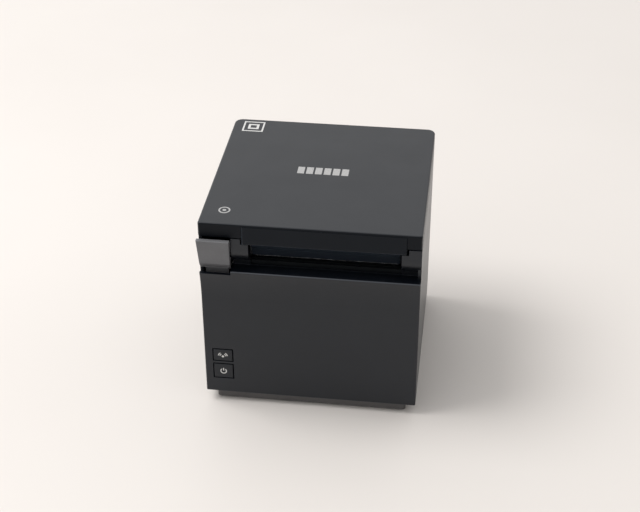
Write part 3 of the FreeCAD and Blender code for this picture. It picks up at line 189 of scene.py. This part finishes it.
def edge_mask(tree, radius_mm):
    """1 near an outer or inner edge, 0 on flat surface."""
    bevel = add(tree, "ShaderNodeBevel", samples=4)
    bevel.inputs["Radius"].default_value = radius_mm * MM
    geometry = add(tree, "ShaderNodeNewGeometry")
    dot = add(tree, "ShaderNodeVectorMath", operation="DOT_PRODUCT")
    tree.links.new(bevel.outputs["Normal"], dot.inputs[0])
    tree.links.new(geometry.outputs["Normal"], dot.inputs[1])
    return remap(tree, dot.outputs["Value"], 0.75, 0.995, 1.0, 0.0)


def bump(tree, shader, height, distance_mm, strength=1.0, round_mm=0.0):
    """Bumps the shader's normal. Sharp edges are also rounded for the light when round_mm is set."""
    node = add(tree, "ShaderNodeBump")
    node.inputs["Strength"].default_value = strength
    node.inputs["Distance"].default_value = distance_mm * MM
    tree.links.new(height, node.inputs["Height"])
    if round_mm:
        bevel = add(tree, "ShaderNodeBevel", samples=4)
        bevel.inputs["Radius"].default_value = round_mm * MM
        tree.links.new(bevel.outputs["Normal"], node.inputs["Normal"])
    tree.links.new(node.outputs["Normal"], shader.inputs["Normal"])


def scaled(colour, factor):
    return tuple(c * factor for c in colour)


# ---------------------------------------------------------------- materials
def grained_plastic(name, colour, rough, grain_mm=0.35, depth_mm=0.012, edge_wear_and_highlight=2.2, shine=0.5):
    """Moulded plastic with a spark-eroded grain, slight mottling, and smoother edges painted paler: partly
    wear, partly a painted highlight.
    """
    material, tree, shader, coords = new_material(name)
    mottle = noise(tree, coords, 14.0, 4.0)
    fine = noise(tree, coords, grain_mm, 2.0)
    speck = remap(tree, noise(tree, coords, grain_mm * 2.2, 1.0), 0.35, 0.75, 0.0, 1.0)
    patches = spread(tree, mottle, 0, 1)
    body = blend_colours(tree, patches, scaled(colour, 0.90), scaled(colour, 1.10))
    body = blend_colours(tree, arithmetic(tree, "MULTIPLY", speck, 0.25), body, scaled(colour, 1.35))
    # edges painted paler: partly scuffed wear, partly a painted highlight along the edges
    edges = edge_mask(tree, 0.45)
    scuffs = remap(tree, noise(tree, coords, 3.0, 4.0), 0.35, 0.65, 0.35, 1.0)
    worn_and_highlit = arithmetic(tree, "MULTIPLY", edges, scuffs)
    tree.links.new(blend_colours(tree, worn_and_highlit, body, scaled(colour, edge_wear_and_highlight)), shader.inputs["Base Color"])
    smear = spread(tree, noise(tree, coords, 22.0, 3.0), rough - 0.02, rough + 0.03)
    polished = arithmetic(tree, "MULTIPLY", worn_and_highlit, 0.12)
    tree.links.new(arithmetic(tree, "SUBTRACT", smear, polished), shader.inputs["Roughness"])
    shader.inputs["Specular IOR Level"].default_value = shine
    shader.inputs["Specular Tint"].default_value = PLASTIC_SHEEN
    bump(tree, shader, fine, depth_mm, 0.6, round_mm=0.2)
    return material


def paint_light_by_facing(material, direction, start, end, tint):
    """Paints shade (tint below 1) or a highlight (tint above 1): multiplies a plastic's colour and shine
    where its faces turn towards a direction: fully beyond end.
    """
    tree = material.node_tree
    shader = next(n for n in tree.nodes if n.type == "BSDF_PRINCIPLED")
    coords = add(tree, "ShaderNodeTexCoord")
    dot = add(tree, "ShaderNodeVectorMath", operation="DOT_PRODUCT")
    tree.links.new(coords.outputs["Normal"], dot.inputs[0])
    dot.inputs[1].default_value = Vector(direction).normalized()
    facing = remap(tree, dot.outputs["Value"], start, end, 0.0, 1.0)
    base = shader.inputs["Base Color"].links[0].from_socket
    mixed = add(tree, "ShaderNodeMix", data_type="RGBA", blend_type="MULTIPLY")
    tree.links.new(facing, mixed.inputs["Factor"])
    tree.links.new(base, mixed.inputs[MIX_FIRST])
    mixed.inputs[MIX_SECOND].default_value = (*tint, 1.0)
    tree.links.new(mixed.outputs[MIX_RESULT], shader.inputs["Base Color"])
    level = shader.inputs["Specular IOR Level"]
    before = level.links[0].from_socket if level.links else level.default_value
    tree.links.new(arithmetic(tree, "MULTIPLY", remap(tree, facing, 0, 1, 1.0, tint[0]), before), level)
    return material


def smooth_plastic(name, colour, rough, shine=0.5):
    """Moulded plastic without a grain: faint flow marks, and soft edges painted paler as a painted
    highlight.
    """
    material, tree, shader, coords = new_material(name)
    flow = noise(tree, coords, 9.0, 3.0, (1.0, 0.3, 1.0))
    tint = spread(tree, flow, 0, 1)
    body = blend_colours(tree, tint, scaled(colour, 0.92), scaled(colour, 1.08))
    # painted highlight: edges painted paler
    edges = arithmetic(tree, "MULTIPLY", edge_mask(tree, 0.3), 0.6)
    tree.links.new(blend_colours(tree, edges, body, scaled(colour, 1.5)), shader.inputs["Base Color"])
    tree.links.new(spread(tree, flow, rough - 0.05, rough + 0.06), shader.inputs["Roughness"])
    shader.inputs["Specular IOR Level"].default_value = shine
    bump(tree, shader, noise(tree, coords, 1.2, 3.0), 0.01, 0.4, round_mm=0.15)
    return material


def worked_metal(name, colour, rough, stretch, edge_wear_and_highlight=1.25):
    """Metal with lines along one axis, uneven sheen, and edges painted brighter: partly wear, partly a
    painted highlight.
    """
    material, tree, shader, coords = new_material(name)
    lines = noise(tree, coords, 0.25, 3.0, stretch)
    cloud = noise(tree, coords, 8.0, 4.0)
    tint = spread(tree, cloud, 0, 1)
    body = blend_colours(tree, tint, scaled(colour, 0.86), scaled(colour, 1.05))
    # edges painted brighter: worn edges and a painted highlight
    tree.links.new(
        blend_colours(tree, edge_mask(tree, 0.2), body, tuple(min(1.0, c * edge_wear_and_highlight) for c in colour)),
        shader.inputs["Base Color"],
    )
    sheen = arithmetic(tree, "ADD", spread(tree, lines, -0.07, 0.07), rough)
    uneven = arithmetic(tree, "ADD", sheen, spread(tree, cloud, 0.0, 0.08))
    tree.links.new(uneven, shader.inputs["Roughness"])
    shader.inputs["Metallic"].default_value = 1.0
    bump(tree, shader, lines, 0.006, 0.5, round_mm=0.1)
    return material


def rubber(name, colour, rough=0.8):
    """Matte rubber: ground surface, dusty in patches."""
    material, tree, shader, coords = new_material(name)
    dust = remap(tree, noise(tree, coords, 5.0, 5.0), 0.4, 0.75, 0.0, 0.5)
    tree.links.new(blend_colours(tree, dust, colour, scaled(colour, 2.0)), shader.inputs["Base Color"])
    ground = spread(tree, noise(tree, coords, 2.0, 3.0), rough - 0.06, rough + 0.06)
    tree.links.new(ground, shader.inputs["Roughness"])
    shader.inputs["Specular IOR Level"].default_value = 0.3
    bump(tree, shader, noise(tree, coords, 0.3, 3.0), 0.02, 0.6, round_mm=0.15)
    return material


def circuit_board(name, colour):
    """Green solder mask over copper tracks: the tracks read as slightly paler, raised lines."""
    material, tree, shader, coords = new_material(name)
    tracks = add(tree, "ShaderNodeTexBrick", offset=0.5)
    tracks.inputs["Scale"].default_value = 260.0
    tracks.inputs["Mortar Size"].default_value = 0.06
    tree.links.new(coords, tracks.inputs["Vector"])
    line = tracks.outputs["Fac"]
    tree.links.new(blend_colours(tree, line, colour, scaled(colour, 1.9)), shader.inputs["Base Color"])
    tree.links.new(spread(tree, noise(tree, coords, 4.0), 0.22, 0.34), shader.inputs["Roughness"])
    bump(tree, shader, line, 0.03, 0.6)
    return material


def striped_film(name, colour, stripe):
    """Polyester film with printed conductors running along it."""
    material, tree, shader, coords = new_material(name)
    wave = add(tree, "ShaderNodeTexWave", bands_direction="X")
    wave.inputs["Scale"].default_value = 310.0
    tree.links.new(coords, wave.inputs["Vector"])
    band = remap(tree, wave.outputs["Fac"], 0.35, 0.6, 0, 1)
    tree.links.new(blend_colours(tree, band, colour, stripe), shader.inputs["Base Color"])
    tree.links.new(spread(tree, noise(tree, coords, 6.0), 0.3, 0.45), shader.inputs["Roughness"])
    bump(tree, shader, band, 0.02, 0.5)
    return material


def printed_ink(name, colour):
    """Pad-printed ink: a little uneven, and thin in places."""
    material, tree, shader, coords = new_material(name)
    thin = remap(tree, noise(tree, coords, 0.8, 4.0), 0.35, 0.7, 0, 1)
    tree.links.new(blend_colours(tree, thin, colour, scaled(colour, 0.78)), shader.inputs["Base Color"])
    tree.links.new(remap(tree, thin, 0, 1, 0.45, 0.6), shader.inputs["Roughness"])
    bump(tree, shader, noise(tree, coords, 0.3), 0.01, 0.5)
    return material


def desk_material():
    """Warm off-white laminate with a very faint grain."""
    material, tree, shader, coords = new_material("desk")
    broad = spread(tree, noise(tree, coords, 260.0, 3.0), 0, 1)
    colour = blend_colours(tree, broad, (0.74, 0.705, 0.675), (0.765, 0.73, 0.70))
    tree.links.new(colour, shader.inputs["Base Color"])
    tree.links.new(spread(tree, noise(tree, coords, 40.0), 0.5, 0.6), shader.inputs["Roughness"])
    shader.inputs["Specular IOR Level"].default_value = 0.25
    bump(tree, shader, noise(tree, coords, 1.5, 4.0), 0.01, 0.3)
    return material


# nodes whose material differs from their slot's plain one: the lid and panel carry painted shade and painted
# highlights, and the plinth a painted reflection
LOOKS = {"lid_shell": "lid_black", "front_panel": "panel_black", "base_plate": "plinth_black"}

# faces that get painted shade or painted highlights: which way they turn, and by how much their colour and
# shine are scaled
UP = (0.0, 0.0, 1.0)
DOWN = (0.0, 0.0, -1.0)
FRONT = (0.0, -1.0, 0.0)
FRONT_UP = (0.0, -1.0, 1.0)
FRONT_DOWN = (0.0, -1.0, -1.0)
FRONT_LEFT = (-1.0, -1.0, 0.0)
# painted shade on the panel's ledge
LEDGE_PAINTED_SHADE = (0.45, 0.58, 0.75)
# painted highlight on the panel's crest
CREST_PAINTED_HIGHLIGHT = (2.2, 2.3, 2.4)
# painted shade on the lid's front faces
LID_FRONT_PAINTED_SHADE = (0.32, 0.42, 0.54)
# painted highlight on the lip's lower and left edges
LIP_RIM_PAINTED_HIGHLIGHT = (2.6, 2.7, 2.75)
# painted shade on the lever's underside
LEVER_UNDERSIDE_PAINTED_SHADE = (0.40, 0.40, 0.42)


def panel_plastic(colour):
    """The front panel: its ledge is painted darker, a painted shade with a painted reflection of the dark
    lip above it, and its crest gets a painted highlight.
    """
    material = grained_plastic("panel_black", colour, 0.38, edge_wear_and_highlight=6.0, shine=0.46)
    paint_light_by_facing(material, UP, 0.8, 0.97, LEDGE_PAINTED_SHADE)
    return paint_light_by_facing(material, FRONT_UP, 0.8, 0.95, CREST_PAINTED_HIGHLIGHT)


def lid_plastic(colour):
    """The lid: its front faces are painted darker, a painted shade for the dim side of the room."""
    material = grained_plastic("lid_black", colour, 0.40, edge_wear_and_highlight=6.0, shine=0.56)
    return paint_light_by_facing(material, FRONT, 0.4, 0.9, LID_FRONT_PAINTED_SHADE)


def lever_plastic():
    """The lever: mid grey, with a painted shade on its underside, under its crest."""
    material = grained_plastic("lever_grey", (0.130, 0.131, 0.137), 0.44, edge_wear_and_highlight=1.5)
    return paint_light_by_facing(material, DOWN, 0.1, 0.7, LEVER_UNDERSIDE_PAINTED_SHADE)


def lip_plastic():
    """The visor lip: finer and darker than the case, with a painted highlight on its lower and left edges.
    """
    material = grained_plastic("lip_black", (0.0045, 0.0060, 0.0085), 0.36, depth_mm=0.008, shine=0.16)
    paint_light_by_facing(material, FRONT_DOWN, 0.8, 0.95, LIP_RIM_PAINTED_HIGHLIGHT)
    return paint_light_by_facing(material, FRONT_LEFT, 0.8, 0.95, LIP_RIM_PAINTED_HIGHLIGHT)


def make_materials():
    """One material for each of the record's slots."""
    charcoal = (0.0045, 0.0055, 0.0075)
    zinc = (0.58, 0.59, 0.60)
    acetal = (0.72, 0.72, 0.69)
    along_x = (0.03, 1.0, 1.0)
    along_y = (1.0, 0.03, 1.0)
    along_z = (1.0, 1.0, 0.03)
    return {
        "case_black": grained_plastic("case_black", charcoal, 0.32, edge_wear_and_highlight=6.0, shine=0.46),
        "panel_black": panel_plastic(charcoal),
        "lid_black": lid_plastic(charcoal),
        "lip_black": lip_plastic(),
        "lever_grey": lever_plastic(),
        "button_black": grained_plastic("button_black", charcoal, 0.40, depth_mm=0.008, shine=0.42),
        "inner_black": smooth_plastic("inner_black", (0.006, 0.0075, 0.009), 0.5, shine=0.2),
        # the plinth's colour is painted far paler than the case's black: a painted reflection of the bright
        # desk
        "plinth_black": grained_plastic("plinth_black", (0.075, 0.071, 0.069), 0.45, shine=0.5),
        "foot_rubber": rubber("foot_rubber", (0.02, 0.02, 0.02)),
        "platen_rubber": rubber("platen_rubber", (0.035, 0.035, 0.038), 0.65),
        "steel": worked_metal("steel", zinc, 0.34, along_z),
        "blade_steel": worked_metal("blade_steel", (0.55, 0.56, 0.58), 0.22, along_x),
        "spring_steel": worked_metal("spring_steel", (0.42, 0.42, 0.44), 0.3, along_y),
        "screw_steel": worked_metal("screw_steel", (0.50, 0.50, 0.52), 0.3, (1, 1, 1)),
        "motor_can": worked_metal("motor_can", (0.45, 0.46, 0.47), 0.4, along_x),
        "gear_white": smooth_plastic("gear_white", acetal, 0.45),
        "bearing_bronze": worked_metal("bearing_bronze", (0.62, 0.43, 0.22), 0.4, (1, 1, 1)),
        "head_ceramic": smooth_plastic("head_ceramic", (0.55, 0.52, 0.42), 0.18, 0.7),
        "head_aluminium": worked_metal("head_aluminium", (0.70, 0.71, 0.72), 0.32, along_x),
        "board_green": circuit_board("board_green", (0.012, 0.085, 0.035)),
        "chip_black": smooth_plastic("chip_black", (0.014, 0.014, 0.015), 0.35),
        "socket_metal": worked_metal("socket_metal", (0.60, 0.60, 0.60), 0.28, along_y),
        "cable_white": striped_film("cable_white", (0.62, 0.62, 0.60), (0.42, 0.40, 0.36)),
        "label_silver": printed_ink("label_silver", (0.42, 0.43, 0.44)),
    }


def dress_frame(materials):
    """Every CAD node gets its slot's material."""
    for part in frame["record"]["subparts"]:
        piece = frame["nodes"][part["node"]]
        piece.data.materials.clear()
        piece.data.materials.append(materials[LOOKS.get(part["node"], part["material_slot"])])


# ---------------------------------------------------------------- printed marks
def outline_prism(name, outlines, place, material, body):
    """Thin closed prints. Each outline is a list of (x, y) in mm on the plane that place sets."""
    mesh = bmesh.new()
    for outline in outlines:
        top = [mesh.verts.new((x * MM, y * MM, PRINT_RISE)) for x, y in outline]
        low = [mesh.verts.new((x * MM, y * MM, PRINT_RISE - PRINT_DEPTH)) for x, y in outline]
        mesh.faces.new(top)
        mesh.faces.new(low[::-1])
        for n in range(len(outline)):
            m = (n + 1) % len(outline)
            mesh.faces.new((low[n], low[m], top[m], top[n]))
    bmesh.ops.triangulate(mesh, faces=mesh.faces)
    bmesh.ops.recalc_face_normals(mesh, faces=mesh.faces)
    data = bpy.data.meshes.new(name)
    mesh.to_mesh(data)
    mesh.free()
    data.materials.append(material)
    piece = bpy.data.objects.new(name, data)
    bpy.context.scene.collection.objects.link(piece)
    piece.matrix_world = place
    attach(piece, body)
    return piece


def bar(x0, x1, y0, y1):
    return [(x0, y0), (x1, y0), (x1, y1), (x0, y1)]


def square_ring(x0, x1, y0, y1, line):
    """Four bars that frame a rectangle."""
    return [
        bar(x0, x1, y0, y0 + line),
        bar(x0, x1, y1 - line, y1),
        bar(x0, x0 + line, y0 + line, y1 - line),
        bar(x1 - line, x1, y0 + line, y1 - line),
    ]


def arc_band(centre_x, centre_y, radius, line, start_deg, end_deg, steps=20):
    """A band along an arc, as one closed outline."""
    inner, outer = radius - line / 2, radius + line / 2
    angles = [math.radians(start_deg + (end_deg - start_deg) * n / steps) for n in range(steps + 1)]
    out = [(centre_x + outer * math.cos(a), centre_y + outer * math.sin(a)) for a in angles]
    back = [(centre_x + inner * math.cos(a), centre_y + inner * math.sin(a)) for a in reversed(angles)]
    return out + back


def disc(centre_x, centre_y, radius, steps=24):
    angles = [2 * math.pi * n / steps for n in range(steps)]
    return [(centre_x + radius * math.cos(a), centre_y + radius * math.sin(a)) for a in angles]


def lid_marks(ink, bright_ink):
    """Generic prints on the lid: a row of plain bars, a framed square and a ringed dot."""
    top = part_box("lid_shell")[1].z
    place = Matrix.Translation((0, 0, top))
    starts = [BAR_START_X + n * BAR_PITCH for n in range(BAR_COUNT)]
    bars = [bar(start, start + BAR_WIDTH, *BAR_Y) for start in starts]
    outline_prism("lid_bar_print", bars, place, ink, "cover")
    frame_print = square_ring(*SQUARE_X, *SQUARE_Y, SQUARE_LINE)
    core_x = (SQUARE_X[0] + SQUARE_GAP, SQUARE_X[1] - SQUARE_GAP)
    core_y = (SQUARE_Y[0] + SQUARE_GAP, SQUARE_Y[1] - SQUARE_GAP)
    frame_print += square_ring(*core_x, *core_y, SQUARE_CORE_LINE)
    outline_prism("lid_square_print", frame_print, place, bright_ink, "cover")
    ring = [arc_band(*RING_AT, RING_R, RING_LINE, start, start + 178) for start in (0, 180)]
    outline_prism("lid_ring_print", ring + [disc(*RING_AT, RING_DOT_R)], place, ink, "cover")


def feed_icon():
    """A dot with two arcs on each side above it."""
    marks = [disc(0, FEED_DOT_Y, FEED_DOT_R)]
    for start in (10, 120):
        for radius in FEED_ARCS:
            marks.append(arc_band(0, FEED_DOT_Y, radius, FEED_LINE, start, start + 50))
    return marks


def power_icon():
    """The common power sign: a ring open at the top, with an upright bar in the opening."""
    marks = [arc_band(0, 0, POWER_R, POWER_LINE, start, start + 140) for start in (130, 270)]
    marks.append(bar(-POWER_LINE / 2, POWER_LINE / 2, *POWER_BAR_Y))
    return marks


def button_marks(ink):
    """An icon in the middle of each button."""
    upright = Matrix.Rotation(math.radians(90), 4, "X")
    icons = (
        ("feed_button", "feed_icon_print", feed_icon(), "feed_key"),
        ("power_button", "power_icon_print", power_icon(), "power_key"),
    )
    for node, name, marks, body in icons:
        low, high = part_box(node)
        middle = (low + high) / 2
        place = Matrix.Translation((middle.x, low.y, middle.z)) @ upright
        outline_prism(name, marks, place, ink, body)


def lever_mark(ink):
    """Small arrow that says press down, on the lever's leaning face: a dark print that paints the shade of
    an arrow embossed in the lever.
    """
    low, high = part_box("cover_lever")
    foot = Vector((LEVER_MIDDLE_X, LEVER_CREST_Y, LEVER_CREST_Z)) * MM
    head = Vector((foot.x, low.y, high.z))
    up = (head - foot).normalized()
    right = Vector((1, 0, 0))
    out = right.cross(up)
    turn = Matrix((right, up, out)).transposed().to_4x4()
    place = Matrix.Translation(foot + (head - foot) * ARROW_HEIGHT) @ turn
    arrow = [(-1.5, 0.3), (0, -1.2), (1.5, 0.3), (1.5, 1.0), (0, -0.4), (-1.5, 1.0)]
    outline_prism("lever_arrow_print", [arrow], place, ink, "lock")


# ---------------------------------------------------------------- desk, light, camera
def desk():
    bpy.ops.mesh.primitive_plane_add(size=DESK_SIZE, location=(0, 0, 0))
    plane = bpy.context.object
    plane.name = "desk"
    plane.data.materials.append(desk_material())


def area_light(name, place, target, size, watts, colour):
    data = bpy.data.lights.new(name, "AREA")
    data.shape = "DISK"
    data.size = size
    data.energy = watts
    data.color = colour
    lamp = bpy.data.objects.new(name, data)
    bpy.context.scene.collection.objects.link(lamp)
    lamp.location = place
    lamp.rotation_euler = (Vector(target) - Vector(place)).to_track_quat("-Z", "Y").to_euler()


def light():
    """Soft daylight: brighter behind and on the left, dimmer in front, and a large source above left."""
    world = bpy.data.worlds.new("studio")
    bpy.context.scene.world = world
    world.use_nodes = True
    tree = world.node_tree
    tree.nodes.clear()
    output = add(tree, "ShaderNodeOutputWorld")
    sky = add(tree, "ShaderNodeBackground")
    coords = add(tree, "ShaderNodeTexCoord")
    parts = add(tree, "ShaderNodeSeparateXYZ")
    tree.links.new(coords.outputs["Generated"], parts.inputs["Vector"])
    back = remap(tree, parts.outputs["Y"], -0.8, 0.8, SKY_FRONT, SKY_BACK)
    left = remap(tree, parts.outputs["X"], -0.6, 0.4, SKY_SIDE, -SKY_SIDE / 2)
    tree.links.new(arithmetic(tree, "ADD", back, left), sky.inputs["Strength"])
    sky.inputs["Color"].default_value = (1.0, 0.99, 0.98, 1.0)
    tree.links.new(sky.outputs["Background"], output.inputs["Surface"])
    area_light("window", WINDOW_AT, WINDOW_AIM, WINDOW_SIZE, WINDOW_WATTS, (1.0, 0.985, 0.97))


def camera():
    back = Vector((
        math.sin(VIEW_AZIMUTH) * math.cos(VIEW_ELEVATION),
        -math.cos(VIEW_AZIMUTH) * math.cos(VIEW_ELEVATION),
        math.sin(VIEW_ELEVATION),
    ))
    right = Vector((math.cos(VIEW_AZIMUTH), math.sin(VIEW_AZIMUTH), 0))
    up = back.cross(right)
    turn = Matrix((right, up, back)).transposed().to_4x4()
    data = bpy.data.cameras.new("camera")
    data.sensor_width = SENSOR_MM
    data.lens = LENS_MM
    data.clip_start = 0.01
    piece = bpy.data.objects.new("camera", data)
    bpy.context.scene.collection.objects.link(piece)
    piece.matrix_world = Matrix.Translation(CAMERA_AT) @ turn @ Matrix.Rotation(VIEW_ROLL, 4, "Z")
    bpy.context.scene.camera = piece


def main():
    materials = make_materials()
    dress_frame(materials)
    pale_ink = printed_ink("pale_ink", (0.42, 0.42, 0.42))
    white_ink = printed_ink("white_ink", (0.68, 0.68, 0.67))
    # painted shade: the dark print stands in for the shade in the lever's embossed arrow
    arrow_painted_shade = printed_ink("arrow_painted_shade", (0.075, 0.076, 0.08))
    lid_marks(pale_ink, white_ink)
    button_marks(white_ink)
    lever_mark(arrow_painted_shade)
    desk()
    light()
    camera()
    bpy.context.scene.view_settings.view_transform = "Standard"


main()
